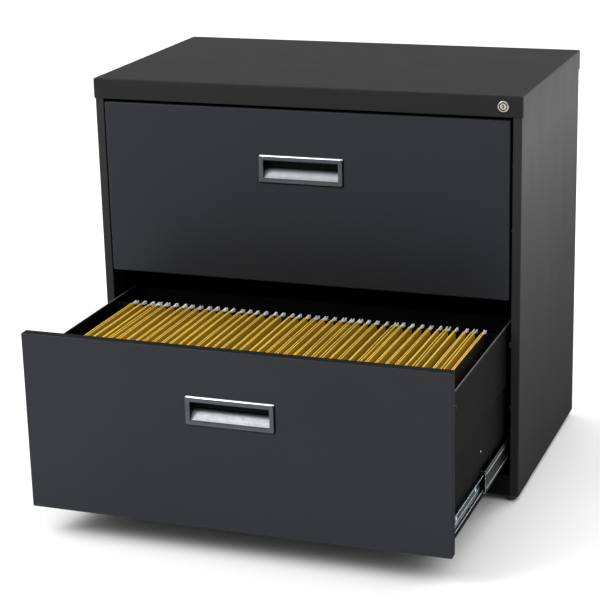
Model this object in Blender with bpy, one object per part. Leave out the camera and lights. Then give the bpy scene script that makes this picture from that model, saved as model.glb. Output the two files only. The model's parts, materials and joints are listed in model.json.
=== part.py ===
"""Two-drawer lateral filing cabinet, built as an assembly of separate pieces.

Units are metres and +Z is up. Sizes below are in the case frame: x = 0 is the middle of
the width, y = 0 is the front plane of the cap and +y goes to the back, z = 0 is the floor.
The upper drawer is closed and the lower drawer stands open. The whole assembly hangs on
one empty that puts the origin under the middle of the assembly as it stands.
"""

import math

import bmesh
import bpy
from mathutils import Matrix, Vector

# ---- Overall size -------------------------------------------------------------------
WIDTH = 0.762
DEPTH = 0.448
HEIGHT = 0.705

# ---- Sheets and fits ----------------------------------------------------------------
CASE_SHEET = 0.0009
DRAWER_SHEET = 0.0008
SLIDE_SHEET = 0.0012
CAGE_SHEET = 0.0008
FIT = 0.0003
BEND_RADIUS = 0.0018
THIN_BEND = 1.2  # outside radius of a tight bend, in sheet thicknesses

# ---- Case ---------------------------------------------------------------------------
CAP_LIP = 0.035
CAP_RADIUS = 0.0025
CAP_OVERHANG = 0.002
CASE_TOP_GAP = 0.0012
STILE_WIDTH = 0.0153
STILE_SETBACK = 0.0015
STILE_RETURN = 0.021
CASE_REAR_FLANGE = 0.017
FLOOR_GAP = 0.010
BASE_HEIGHT = 0.037
BASE_RAIL_DEPTH = 0.047
BASE_RAIL_SETBACK = 0.0015
BASE_END_GAP = 0.0006
BASE_PAN_FLANGE = 0.020

# ---- Slide posts --------------------------------------------------------------------
POST_WIDTH = 0.030
POST_FLANGE = 0.010
POST_SETBACK = 0.007
POST_REAR_MARGIN = 0.042
POST_TOP_GAP = 0.004

# ---- Drawer fronts ------------------------------------------------------------------
FRONT_DEPTH = 0.017
FRONT_PROUD = 0.003
FRONT_SIDE_GAP = 0.0037
FRONT_TOP_GAP = 0.005
FRONT_BETWEEN_GAP = 0.007
FRONT_BASE_GAP = 0.005
LINER_MARGIN = 0.003

# ---- Drawer bodies ------------------------------------------------------------------
BODY_TOP_DROP = 0.043
BODY_BOTTOM_RISE = 0.010
BODY_REAR_CLEARANCE = 0.0235
SIDE_JOG_HEIGHT = 0.155
SIDE_JOG = 0.0035
SIDE_BOTTOM_FLANGE = 0.015
SIDE_HEM_WIDTH = 0.003
SIDE_HEM_DROP = 0.008

# ---- Recessed pulls -----------------------------------------------------------------
PULL_WIDTH = 0.153
PULL_HEIGHT = 0.050
PULL_PROUD = 0.0035
PULL_CHAMFER = 0.0022
PULL_RIM = 0.0095
PULL_WALL = 0.0015
PULL_TOP_DROP = 0.103
PULL_HOLE_CLEARANCE = 0.0004
PULL_LIP_DEPTH = 0.004
PULL_SCOOP_RISE = 0.0145

# ---- Ball slides --------------------------------------------------------------------
SLIDE_THICKNESS = 0.0127
SLIDE_BEHIND_BAR = 0.0025
SLIDE_REAR_MARGIN = 0.017
SLIDE_CENTRE_RISE = 0.045
SLIDE_CABINET_HALF = 0.0225
SLIDE_CABINET_FLANGE = 0.009
SLIDE_OUTER_RACE = 0.0020
SLIDE_MIDDLE_SETBACK = 0.003
SLIDE_INNER_RACE = 0.0046
CAGE_PLAY = 0.0006
SLIDE_INNER_FLANGE = (
    SLIDE_THICKNESS - SLIDE_MIDDLE_SETBACK - SLIDE_SHEET - CAGE_SHEET - 2 * CAGE_PLAY
)
CAGE_END_MARGIN = 0.028
TRAVEL_LOSS = 0.026
REST_SHORT_OF_TRAVEL = 0.027

# ---- Hanging rails and folders ------------------------------------------------------
RAIL_THICKNESS = 0.002
RAIL_HEIGHT = 0.014
RAIL_FRONT_GAP = 0.0042
RAIL_SPACING = 0.315
RAIL_TOP_DROP = 0.005
FOLDER_PITCH = 0.0155
FOLDER_RAIL_GAP = 0.0085
FOLDER_TOP_ABOVE_RAIL = 0.006
FOLDER_FLOOR_CLEARANCE = 0.0136
FOLDER_LEAF = 0.0006
FOLDER_FOLD = 0.003
FOLDER_LEFT_GAP = 0.031
FOLDER_RIGHT_GAP = 0.0145

# ---- Lock ---------------------------------------------------------------------------
LOCK_CAM_TO_BAR = 0.0022
LOCK_FACE_RIM = 0.0017
LOCK_FACE_PROUD = 0.0022
LOCK_FACE_CHAMFER = 0.0008
LOCK_BARREL_RADIUS = 0.0080
LOCK_BARREL_LENGTH = 0.020
LOCK_PLUG_RADIUS = 0.0055
LOCK_PLUG_CLEARANCE = 0.0002
LOCK_HOLE_CLEARANCE = 0.0003
LOCK_NUT_RIM = 0.0025
LOCK_NUT_THICKNESS = 0.0035
KEYWAY_WIDTH = 0.0014
KEYWAY_HEIGHT = 0.0062
KEYWAY_DEPTH = 0.010
CAM_THICKNESS = 0.0015
CAM_WIDTH = 0.0076
CAM_PIN_ARM = 0.0085
CAM_PIN_RADIUS = 0.0015
CAM_PIN_LENGTH = 0.0040
CAM_END_MARGIN = 0.0028
CAM_REST_ANGLE = math.radians(135)
LOCK_STROKE = -2 * CAM_PIN_ARM * math.cos(CAM_REST_ANGLE)
BAR_THICKNESS = 0.0020
BAR_WIDTH = 0.0060
BAR_BEHIND_LINER = 0.0014
BAR_TAB_HEIGHT = 0.008
BAR_TAB_REACH = 0.0047
BAR_TO_STILE = 0.0005
BAR_ARM_GAP = 0.0012
BAR_ARM_THICKNESS = 0.0015
BAR_ARM_HEIGHT = 0.010
BAR_SLOT_CLEARANCE = 0.0006
GUIDE_HEIGHT = 0.012
GUIDE_SHEET = 0.0010
CATCH_DROP = 0.022
CATCH_GAP = 0.0009
CATCH_THICKNESS = 0.003
CATCH_REACH = 0.005

# ---- Levelling feet -----------------------------------------------------------------
FOOT_RADIUS = 0.010
FOOT_PAD_HEIGHT = 0.0085
FOOT_STEM_RADIUS = 0.004
FOOT_STEM_TOP = 0.036
FOOT_HOLE_CLEARANCE = 0.0005
FOOT_FROM_SIDE = 0.0165
FOOT_FROM_FRONT = 0.0170
FOOT_FROM_REAR = 0.0180

# ---- Worked-out places --------------------------------------------------------------
side_x = WIDTH / 2 - CAP_OVERHANG
opening_x = side_x - STILE_WIDTH
stile_y = STILE_SETBACK
case_back_y = DEPTH - CASE_SHEET - 3 * FIT
side_back_y = case_back_y - CASE_SHEET - FIT
case_top_z = HEIGHT - CASE_SHEET - CASE_TOP_GAP
base_top_z = FLOOR_GAP + BASE_HEIGHT

front_x = opening_x - FRONT_SIDE_GAP
fronts_span = HEIGHT - CAP_LIP - FRONT_TOP_GAP - base_top_z - FRONT_BASE_GAP
front_height = (fronts_span - FRONT_BETWEEN_GAP) / 2
front_back_y = FRONT_DEPTH - FRONT_PROUD
liner_back_y = front_back_y + FIT + DRAWER_SHEET
lower_z = base_top_z + FRONT_BASE_GAP
upper_z = lower_z + front_height + FRONT_BETWEEN_GAP

post_x = opening_x + FIT
slide_x = opening_x
body_x = slide_x - SLIDE_THICKNESS - FIT
body_upper_x = body_x + SIDE_JOG
body_inner_x = body_x - DRAWER_SHEET
body_top = front_height - BODY_TOP_DROP
body_front_y = liner_back_y + FIT
body_back_y = DEPTH - BODY_REAR_CLEARANCE
floor_bottom = BODY_BOTTOM_RISE + DRAWER_SHEET + FIT
floor_top = floor_bottom + DRAWER_SHEET

bar_x = opening_x - BAR_TO_STILE
bar_y = liner_back_y + BAR_BEHIND_LINER
pin_offset = CAM_PIN_ARM * math.sin(CAM_REST_ANGLE)
cam_reach = pin_offset + (CAM_END_MARGIN + CAM_WIDTH / 2) * math.sin(CAM_REST_ANGLE)
lock_x = bar_x - BAR_THICKNESS - LOCK_CAM_TO_BAR - cam_reach
lock_z = HEIGHT - CAP_LIP / 2
lock_face_radius = LOCK_BARREL_RADIUS + LOCK_FACE_RIM
lock_nut_radius = LOCK_BARREL_RADIUS + LOCK_NUT_RIM

slide_front_y = bar_y + BAR_WIDTH + SLIDE_BEHIND_BAR
slide_middle_half = SLIDE_CABINET_HALF - SLIDE_SHEET - SLIDE_OUTER_RACE
slide_inner_half = slide_middle_half - SLIDE_SHEET - SLIDE_INNER_RACE
slide_length = DEPTH - slide_front_y - SLIDE_REAR_MARGIN
travel = slide_length - TRAVEL_LOSS
rest_opening = travel - REST_SHORT_OF_TRAVEL
cage_length = slide_length - travel / 2 - 2 * CAGE_END_MARGIN

rail_front_y = liner_back_y + RAIL_FRONT_GAP
rail_rear_y = rail_front_y + RAIL_SPACING
rail_top = body_top - RAIL_TOP_DROP

pull_centre = front_height - PULL_TOP_DROP
pull_opening_width = PULL_WIDTH - 2 * PULL_RIM
pull_opening_height = PULL_HEIGHT - 2 * PULL_RIM
catch_y = bar_y + BAR_WIDTH + CATCH_GAP
catch_centre = body_top - CATCH_DROP

origin_y = -(DEPTH - FRONT_PROUD - PULL_PROUD - rest_opening) / 2

# ---- Colours ------------------------------------------------------------------------
CHARCOAL = (0.045, 0.047, 0.052)
CHARCOAL_FRONT = (0.043, 0.046, 0.055)
BLACK_STEEL = (0.012, 0.012, 0.013)
ZINC = (0.60, 0.62, 0.64)
BRIGHT_STEEL = (0.72, 0.73, 0.74)
CAGE_STEEL = (0.45, 0.46, 0.47)
NICKEL = (0.74, 0.72, 0.69)
BRASS = (0.62, 0.50, 0.26)
PULL_GREY = (0.23, 0.25, 0.28)
MUSTARD = (0.47, 0.28, 0.025)
FOOT_BLACK = (0.010, 0.010, 0.010)


# ---- Scene and hierarchy ------------------------------------------------------------
def clear_scene():
    for thing in list(bpy.data.objects):
        bpy.data.objects.remove(thing, do_unlink=True)


def add_empty(name, location, parent=None):
    empty = bpy.data.objects.new(name, None)
    bpy.context.scene.collection.objects.link(empty)
    empty.location = location
    empty.parent = parent
    return empty


def make_material(name, colour, roughness, metallic):
    material = bpy.data.materials.new(name)
    material.use_nodes = True
    shader = material.node_tree.nodes["Principled BSDF"]
    shader.inputs["Base Color"].default_value = (*colour, 1.0)
    shader.inputs["Roughness"].default_value = roughness
    shader.inputs["Metallic"].default_value = metallic
    return material


def add_object(name, mesh_source, parent, look=None):
    """Turns a bmesh into a named object; look is (colour, roughness, metallic)."""
    bmesh.ops.recalc_face_normals(mesh_source, faces=mesh_source.faces)
    mesh = bpy.data.meshes.new(name)
    mesh_source.to_mesh(mesh)
    mesh_source.free()
    thing = bpy.data.objects.new(name, mesh)
    bpy.context.scene.collection.objects.link(thing)
    thing.parent = parent
    if look is not None:
        mesh.materials.append(make_material(name, *look))
    return thing


def cut(thing, cutter_mesh, label, operation="DIFFERENCE"):
    """Cuts from, or joins to, an object with a hidden helper that sits under the same parent."""
    helper = add_object(f"{thing.name}_{label}", cutter_mesh, thing.parent)
    helper.hide_render = True
    helper.display_type = "WIRE"
    boolean = thing.modifiers.new(label, "BOOLEAN")
    boolean.operation = operation
    boolean.solver = "EXACT"
    boolean.object = helper


def smooth(thing):
    thing.data.shade_smooth()
    thing.data.set_sharp_from_angle(angle=math.radians(35))


# ---- Shapes -------------------------------------------------------------------------
def box(low, high):
    shape = bmesh.new()
    size = Vector(high) - Vector(low)
    middle = (Vector(high) + Vector(low)) / 2
    bmesh.ops.create_cube(shape, size=1.0)
    bmesh.ops.scale(shape, vec=size, verts=shape.verts)
    bmesh.ops.translate(shape, vec=middle, verts=shape.verts)
    return shape


def rounded_box(low, high, radius, flat_axis=None, flat_side=0, segments=3):
    """A box with rounded edges; the edges that lie on its flat side stay sharp."""
    shape = box(low, high)
    edges = list(shape.edges)
    if flat_axis is not None:
        level = (high if flat_side > 0 else low)[flat_axis]
        on_side = {v for v in shape.verts if abs(v.co[flat_axis] - level) < 1e-7}
        edges = [e for e in shape.edges if not set(e.verts) <= on_side]
    bmesh.ops.bevel(
        shape, geom=edges, offset=radius, segments=segments, profile=0.5, affect="EDGES"
    )
    return shape


def prism(outline, axis, start, end):
    """An outline of (first, second) coordinates across an axis, extruded along it."""
    others = [i for i in range(3) if i != axis]
    shape = bmesh.new()
    rings = []
    for level in (start, end):
        ring = []
        for first, second in outline:
            place = [0.0, 0.0, 0.0]
            place[axis] = level
            place[others[0]] = first
            place[others[1]] = second
            ring.append(shape.verts.new(place))
        rings.append(ring)
    count = len(outline)
    shape.faces.new(rings[0])
    shape.faces.new(rings[1][::-1])
    for i in range(count):
        j = (i + 1) % count
        shape.faces.new((rings[0][i], rings[0][j], rings[1][j], rings[1][i]))
    return shape


def with_bends(line, radius, steps=3):
    """The line with each inner corner replaced by an arc of the bend's outside radius."""
    bent = [Vector(line[0])]
    for before, corner, after in zip(line, line[1:], line[2:]):
        corner = Vector(corner)
        back = (Vector(before) - corner).normalized()
        ahead = (Vector(after) - corner).normalized()
        half = back.angle(ahead) / 2
        reach = radius / math.tan(half)
        centre = corner + (back + ahead).normalized() * (radius / math.sin(half))
        first = corner + back * reach - centre
        last = corner + ahead * reach - centre
        sweep = first.angle_signed(last)
        for step in range(steps + 1):
            turn = Matrix.Rotation(-sweep * step / steps, 2)
            bent.append(centre + turn @ first)
    bent.append(Vector(line[-1]))
    return bent


def sheet_outline(line, thickness, radius):
    """The closed outline of a folded sheet on the left of a line; radius 0 leaves sharp folds."""
    line = with_bends(line, radius) if radius else [Vector(point) for point in line]
    inner = []
    for i, point in enumerate(line):
        before = (point - line[i - 1]).normalized() if i else None
        after = (line[i + 1] - point).normalized() if i + 1 < len(line) else None
        directions = [d for d in (before, after) if d is not None]
        normals = [Vector((-d.y, d.x)) for d in directions]
        mitre = sum(normals, Vector((0, 0))).normalized()
        inner.append(point + mitre * thickness / mitre.dot(normals[0]))
    return [tuple(p) for p in line + inner[::-1]]


def folded_sheet(line, thickness, axis, start, end, side=1, radius=BEND_RADIUS):
    """A folded sheet along an axis; side -1 mirrors its first coordinate."""
    outline = sheet_outline(line, thickness, radius)
    return prism([(side * first, second) for first, second in outline], axis, start, end)


def cylinder(radius, centre, axis, start, end, segments=32):
    shape = bmesh.new()
    bmesh.ops.create_cone(
        shape, cap_ends=True, segments=segments, radius1=radius, radius2=radius, depth=1.0
    )
    turns = {0: Matrix.Rotation(math.pi / 2, 4, "Y"), 1: Matrix.Rotation(-math.pi / 2, 4, "X")}
    bmesh.ops.scale(shape, vec=(1, 1, end - start), verts=shape.verts)
    bmesh.ops.transform(shape, matrix=turns.get(axis, Matrix()), verts=shape.verts)
    place = list(centre)
    place.insert(axis, (start + end) / 2)
    bmesh.ops.translate(shape, vec=place, verts=shape.verts)
    return shape


def turned(profile, centre, axis_y_start, segments=32):
    """A solid turned about +Y from (distance along the axis, radius) points."""
    shape = bmesh.new()
    rings = []
    for along, radius in profile:
        ring = []
        for i in range(segments):
            angle = 2 * math.pi * i / segments
            ring.append(
                shape.verts.new(
                    (
                        centre[0] + radius * math.cos(angle),
                        axis_y_start + along,
                        centre[1] + radius * math.sin(angle),
                    )
                )
            )
        rings.append(ring)
    for ring, following in zip(rings, rings[1:]):
        for i in range(segments):
            j = (i + 1) % segments
            shape.faces.new((ring[i], ring[j], following[j], following[i]))
    shape.faces.new(rings[0])
    shape.faces.new(rings[-1])
    return shape


def pan(name, low, high, sheet, radius, open_axis, open_side, parent, look):
    """A pressed sheet pan with four lips, open on one side."""
    thing = add_object(
        name, rounded_box(low, high, radius, open_axis, open_side), parent, look
    )
    inner_low = [value + sheet for value in low]
    inner_high = [value - sheet for value in high]
    if open_side > 0:
        inner_high[open_axis] = high[open_axis] + 4 * sheet
    else:
        inner_low[open_axis] = low[open_axis] - 4 * sheet
    hollow = rounded_box(inner_low, inner_high, radius - sheet, open_axis, open_side)
    cut(thing, hollow, "hollow")
    return thing


# ---- Case ---------------------------------------------------------------------------
PAINT = (CHARCOAL, 0.5, 0.0)
FRONT_PAINT = (CHARCOAL_FRONT, 0.45, 0.0)
DARK_PAINT = (BLACK_STEEL, 0.6, 0.0)


def build_top_panel(parent):
    low = (-WIDTH / 2, 0, HEIGHT - CAP_LIP)
    high = (WIDTH / 2, DEPTH, HEIGHT)
    top = pan("top_panel", low, high, CASE_SHEET, CAP_RADIUS, 2, -1, parent, PAINT)
    hole_radius = LOCK_BARREL_RADIUS + LOCK_HOLE_CLEARANCE
    hole = cylinder(hole_radius, (lock_x, lock_z), 1, -CASE_SHEET, 3 * CASE_SHEET)
    cut(top, hole, "lock_hole")


def build_side_panels(parent):
    line = [
        (opening_x, stile_y + STILE_RETURN),
        (opening_x, stile_y),
        (side_x, stile_y),
        (side_x, side_back_y),
        (side_x - CASE_REAR_FLANGE, side_back_y),
    ]
    for name, side in (("left", -1), ("right", 1)):
        sheet = folded_sheet(line, CASE_SHEET, 2, FLOOR_GAP, case_top_z, side)
        panel = add_object(f"side_panel_{name}", sheet, parent, PAINT)
        reach = sorted((side * (opening_x - FIT), side * (opening_x + CASE_SHEET + FIT)))
        notch_front = stile_y + CASE_SHEET + FIT
        notch_back = stile_y + STILE_RETURN + FIT
        low = (reach[0], notch_front, FLOOR_GAP - FIT)
        high = (reach[1], notch_back, base_top_z + 2 * FIT)
        cut(panel, box(low, high), "base_notch")


def build_back_panel(parent):
    low = (-side_x, case_back_y - CASE_SHEET, FLOOR_GAP)
    high = (side_x, case_back_y, case_top_z)
    add_object("back_panel", box(low, high), parent, PAINT)


def build_base(parent):
    end_x = side_x - CASE_SHEET - BASE_END_GAP
    front_y = stile_y + BASE_RAIL_SETBACK
    rear_y = side_back_y - CASE_SHEET - FIT
    rails = (
        ("base_front_rail", front_y, front_y + BASE_RAIL_DEPTH, stile_y + FOOT_FROM_FRONT),
        ("base_rear_rail", rear_y, rear_y - BASE_RAIL_DEPTH, side_back_y - FOOT_FROM_REAR),
    )
    for name, web_y, flange_y, foot_y in rails:
        line = [
            (flange_y, FLOOR_GAP),
            (web_y, FLOOR_GAP),
            (web_y, base_top_z),
            (flange_y, base_top_z),
        ]
        if flange_y > web_y:
            line.reverse()
        sheet = folded_sheet(line, SLIDE_SHEET, 0, -end_x, end_x)
        rail = add_object(name, sheet, parent, DARK_PAINT)
        for side in (-1, 1):
            place = (side * (side_x - FOOT_FROM_SIDE), foot_y)
            radius = FOOT_STEM_RADIUS + FOOT_HOLE_CLEARANCE
            low_z = FLOOR_GAP - SLIDE_SHEET
            hole = cylinder(radius, place, 2, low_z, FLOOR_GAP + 2 * SLIDE_SHEET, 24)
            cut(rail, hole, f"foot_hole_{side + 1}")
    pan_front = front_y + BASE_RAIL_DEPTH + FIT
    pan_rear = rear_y - BASE_RAIL_DEPTH - FIT
    line = [
        (pan_rear, base_top_z - BASE_PAN_FLANGE),
        (pan_rear, base_top_z),
        (pan_front, base_top_z),
        (pan_front, base_top_z - BASE_PAN_FLANGE),
    ]
    sheet = folded_sheet(line, CASE_SHEET, 0, -end_x, end_x)
    add_object("base_panel", sheet, parent, DARK_PAINT)


def build_slide_posts(parent):
    far_x = side_x - CASE_SHEET - FIT - SLIDE_SHEET
    places = (
        ("front", slide_front_y + POST_SETBACK),
        ("rear", DEPTH - POST_REAR_MARGIN - POST_WIDTH),
    )
    for end, start_y in places:
        line = [
            (far_x, start_y - POST_FLANGE),
            (far_x, start_y),
            (post_x, start_y),
            (post_x, start_y + POST_WIDTH),
            (far_x, start_y + POST_WIDTH),
            (far_x, start_y + POST_WIDTH + POST_FLANGE),
        ]
        line.reverse()
        for name, side in (("left", -1), ("right", 1)):
            sheet = folded_sheet(
                line, SLIDE_SHEET, 2, base_top_z + FIT, case_top_z - POST_TOP_GAP, side
            )
            add_object(f"slide_post_{end}_{name}", sheet, parent, DARK_PAINT)


# ---- Ball slides --------------------------------------------------------------------
def slide_line(tip, web, half):
    """A C section in (distance from the case, height) about the slide's centre."""
    return [(tip, half), (web, half), (web, -half), (tip, -half)]


def slide_member(name, line, sheet, length, centre_y, parent, side, look):
    """One member of a slide; its empty parent sits on the slide's centre line."""
    placed = [(slide_x - across, up) for across, up in line]
    if line[0][0] > line[1][0]:
        placed.reverse()
    shape = folded_sheet(
        placed, sheet, 1, centre_y - length / 2, centre_y + length / 2, side, THIN_BEND * sheet
    )
    add_object(name, shape, parent, look)


def build_slides(level, axis, opening):
    """Cabinet members, middle members and the two sets of ball cages of one drawer."""
    centre_y = slide_front_y + slide_length / 2
    gap_inside = SLIDE_CABINET_HALF - SLIDE_SHEET
    outer_cage_half = (gap_inside + slide_middle_half + CAGE_SHEET) / 2
    outer_cage_web = (SLIDE_SHEET + SLIDE_MIDDLE_SETBACK - CAGE_SHEET) / 2
    middle_inside = slide_middle_half - SLIDE_SHEET
    inner_cage_half = (middle_inside + slide_inner_half + CAGE_SHEET) / 2
    inner_cage_web = SLIDE_MIDDLE_SETBACK + SLIDE_SHEET + CAGE_PLAY
    middle_tip = SLIDE_THICKNESS - FIT
    inner_cage_tip = SLIDE_THICKNESS - SLIDE_SHEET - CAGE_PLAY
    cage = (CAGE_STEEL, 0.4, 1.0)
    middles = add_empty(f"{level}_slide_middles", (0, -opening / 2, 0), axis)
    outer_cages = add_empty(f"{level}_outer_cages", (0, -opening / 4, 0), axis)
    inner_cages = add_empty(f"{level}_inner_cages", (0, -opening * 3 / 4, 0), axis)
    for name, side in (("left", -1), ("right", 1)):
        slide_member(
            f"{level}_slide_cabinet_{name}",
            slide_line(SLIDE_CABINET_FLANGE, 0, SLIDE_CABINET_HALF),
            SLIDE_SHEET, slide_length, centre_y, axis, side, (ZINC, 0.35, 1.0),
        )
        slide_member(
            f"{level}_slide_middle_{name}",
            slide_line(middle_tip, SLIDE_MIDDLE_SETBACK, slide_middle_half),
            SLIDE_SHEET, slide_length, centre_y, middles, side, (BRIGHT_STEEL, 0.3, 1.0),
        )
        slide_member(
            f"{level}_outer_cage_{name}",
            slide_line(SLIDE_CABINET_FLANGE - CAGE_PLAY, outer_cage_web, outer_cage_half),
            CAGE_SHEET, cage_length, centre_y, outer_cages, side, cage,
        )
        slide_member(
            f"{level}_inner_cage_{name}",
            slide_line(inner_cage_tip, inner_cage_web, inner_cage_half),
            CAGE_SHEET, cage_length, centre_y, inner_cages, side, cage,
        )


def build_drawer_slide_members(level, parent):
    centre_y = slide_front_y + slide_length / 2
    for name, side in (("left", -1), ("right", 1)):
        tip = SLIDE_THICKNESS - SLIDE_INNER_FLANGE
        line = slide_line(tip, SLIDE_THICKNESS, slide_inner_half)
        slide_member(
            f"{level}_slide_drawer_{name}",
            line, SLIDE_SHEET, slide_length, centre_y, parent, side, (ZINC, 0.35, 1.0),
        )


# ---- Drawers ------------------------------------------------------------------------
def build_front(level, parent):
    low = (-front_x, -FRONT_PROUD, 0)
    high = (front_x, front_back_y, front_height)
    front = pan(
        f"{level}_drawer_front", low, high, DRAWER_SHEET, BEND_RADIUS, 1, 1, parent, FRONT_PAINT
    )
    margin = PULL_WALL + PULL_HOLE_CLEARANCE
    half_width = pull_opening_width / 2 + margin
    half_height = pull_opening_height / 2 + margin
    hole_low = (-half_width, -FRONT_PROUD - DRAWER_SHEET, pull_centre - half_height)
    hole_high = (half_width, -FRONT_PROUD + 2 * DRAWER_SHEET, pull_centre + half_height)
    cut(front, box(hole_low, hole_high), "pull_hole")


def build_liner(level, parent):
    half = front_x - LINER_MARGIN
    low = (-half, front_back_y + FIT, LINER_MARGIN)
    high = (half, liner_back_y, front_height - LINER_MARGIN)
    add_object(f"{level}_front_liner", box(low, high), parent, FRONT_PAINT)


def build_body_sides(level, parent):
    line = [
        (body_x - SIDE_BOTTOM_FLANGE, BODY_BOTTOM_RISE),
        (body_x, BODY_BOTTOM_RISE),
        (body_x, SIDE_JOG_HEIGHT),
        (body_upper_x, SIDE_JOG_HEIGHT + SIDE_JOG),
        (body_upper_x, body_top),
        (body_upper_x - SIDE_HEM_WIDTH, body_top),
        (body_upper_x - SIDE_HEM_WIDTH, body_top - SIDE_HEM_DROP),
    ]
    for name, side in (("left", -1), ("right", 1)):
        sheet = folded_sheet(
            line, DRAWER_SHEET, 1, body_front_y, body_back_y, side, THIN_BEND * DRAWER_SHEET
        )
        wall = add_object(f"{level}_body_side_{name}", sheet, parent, PAINT)
        if side > 0:
            low_x = body_upper_x - DRAWER_SHEET / 2
            low = (low_x, catch_y, catch_centre - BAR_TAB_HEIGHT / 2)
            high_x = body_upper_x + CATCH_REACH
            high = (high_x, catch_y + CATCH_THICKNESS, catch_centre + BAR_TAB_HEIGHT / 2)
            cut(wall, box(low, high), "lock_catch", "UNION")


def build_body_floor_and_back(level, parent):
    half = body_inner_x - FIT
    back_inner_y = body_back_y - DRAWER_SHEET
    low = (-half, body_front_y, floor_bottom)
    high = (half, back_inner_y - FIT, floor_top)
    add_object(f"{level}_body_floor", box(low, high), parent, PAINT)
    back_low = (-half, back_inner_y, floor_bottom)
    back_high = (half, body_back_y, body_top - SIDE_HEM_WIDTH)
    add_object(f"{level}_body_back", box(back_low, back_high), parent, PAINT)


def build_hang_rails(level, parent):
    half = body_inner_x - FIT
    for name, centre_y in (("front", rail_front_y), ("rear", rail_rear_y)):
        low = (-half, centre_y - RAIL_THICKNESS / 2, rail_top - RAIL_HEIGHT)
        high = (half, centre_y + RAIL_THICKNESS / 2, rail_top)
        add_object(f"{level}_hang_rail_{name}", box(low, high), parent, (ZINC, 0.4, 1.0))


def build_pull(level, parent):
    """A flush pull: a bevelled bezel in front of the sheet and a scoop that passes through it."""
    face_y = -FRONT_PROUD - FIT
    outer_y = -FRONT_PROUD - PULL_PROUD
    scoop_y = front_back_y - PULL_WALL
    low = (-PULL_WIDTH / 2, outer_y, pull_centre - PULL_HEIGHT / 2)
    high = (PULL_WIDTH / 2, face_y, pull_centre + PULL_HEIGHT / 2)
    bezel = rounded_box(low, high, PULL_CHAMFER, 1, 1, segments=2)
    pull = add_object(f"{level}_pull", bezel, parent, (PULL_GREY, 0.35, 0.8))
    half_width = pull_opening_width / 2
    half_height = pull_opening_height / 2
    neck_low = (
        -half_width - PULL_WALL,
        face_y - PULL_WALL,
        pull_centre - half_height - PULL_WALL,
    )
    neck_high = (half_width + PULL_WALL, scoop_y, pull_centre + half_height + PULL_WALL)
    cut(pull, box(neck_low, neck_high), "neck", "UNION")
    past = 2 * PULL_WALL
    bottom = pull_centre - half_height
    top = pull_centre + half_height
    outline = [
        (outer_y - past, bottom),
        (face_y, bottom),
        (scoop_y - PULL_WALL, bottom + PULL_SCOOP_RISE),
        (scoop_y + past, bottom + PULL_SCOOP_RISE),
        (scoop_y + past, top + past),
        (PULL_LIP_DEPTH, top + past),
        (PULL_LIP_DEPTH, top),
        (outer_y - past, top),
    ]
    cut(pull, prism(outline, 0, -half_width, half_width), "scoop")


def build_drawer(level, bottom_z, opening, parent):
    """A drawer on its own empty; the empty lies on the drawer's slide axis."""
    drawer = add_empty(f"{level}_drawer_axis", (0, -opening, bottom_z), parent)
    build_front(level, drawer)
    build_liner(level, drawer)
    build_body_sides(level, drawer)
    build_body_floor_and_back(level, drawer)
    build_hang_rails(level, drawer)
    build_pull(level, drawer)
    slide_axis = add_empty(f"{level}_slide_axis", (0, 0, bottom_z + SLIDE_CENTRE_RISE), parent)
    build_slides(level, slide_axis, opening)
    members = add_empty(f"{level}_drawer_members", (0, -opening, 0), slide_axis)
    build_drawer_slide_members(level, members)
    return drawer


def build_folders(drawer):
    """A row of hanging folders as one pleated sheet, hung between the two rails."""
    first_x = -body_inner_x + FOLDER_LEFT_GAP
    room = 2 * body_inner_x - FOLDER_LEFT_GAP - FOLDER_RIGHT_GAP
    count = int(room / FOLDER_PITCH)
    top = rail_top + FOLDER_TOP_ABOVE_RAIL
    bottom = floor_top + FOLDER_FLOOR_CLEARANCE
    line = []
    for index in range(count):
        start_x = first_x + index * FOLDER_PITCH
        middle_x = start_x + FOLDER_PITCH / 2
        line.append((start_x, top))
        line.append((start_x + FOLDER_FOLD, top))
        line.append((middle_x, bottom))
        line.append((middle_x + FOLDER_FOLD, bottom))
    line.append((first_x + count * FOLDER_PITCH, top))
    front_y = rail_front_y + FOLDER_RAIL_GAP
    rear_y = rail_rear_y - FOLDER_RAIL_GAP
    shape = folded_sheet(line, FOLDER_LEAF, 1, front_y, rear_y, radius=0)
    add_object("hanging_folders", shape, drawer, (MUSTARD, 0.8, 0.0))


# ---- Lock ---------------------------------------------------------------------------
def build_lock_housing(parent):
    face_end = LOCK_FACE_PROUD - FIT
    rim = lock_face_radius - LOCK_FACE_CHAMFER
    end = LOCK_FACE_PROUD + LOCK_BARREL_LENGTH
    profile = [
        (0, rim),
        (LOCK_FACE_CHAMFER, lock_face_radius),
        (face_end, lock_face_radius),
        (face_end, LOCK_BARREL_RADIUS),
        (end, LOCK_BARREL_RADIUS),
    ]
    centre = (lock_x, lock_z)
    housing = add_object(
        "lock_housing", turned(profile, centre, -LOCK_FACE_PROUD), parent, (NICKEL, 0.25, 1.0)
    )
    bore_radius = LOCK_PLUG_RADIUS + LOCK_PLUG_CLEARANCE
    bore = cylinder(bore_radius, centre, 1, -2 * LOCK_FACE_PROUD, 2 * LOCK_BARREL_LENGTH)
    cut(housing, bore, "plug_bore")
    smooth(housing)


def build_lock_nut(parent):
    start = CASE_SHEET + FIT
    centre = (lock_x, lock_z)
    nut_shape = cylinder(
        lock_nut_radius, centre, 1, start, start + LOCK_NUT_THICKNESS, segments=6
    )
    nut = add_object("lock_nut", nut_shape, parent, (BRASS, 0.4, 1.0))
    radius = LOCK_BARREL_RADIUS + LOCK_HOLE_CLEARANCE
    cut(nut, cylinder(radius, centre, 1, -start, 3 * LOCK_NUT_THICKNESS), "bore")


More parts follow.
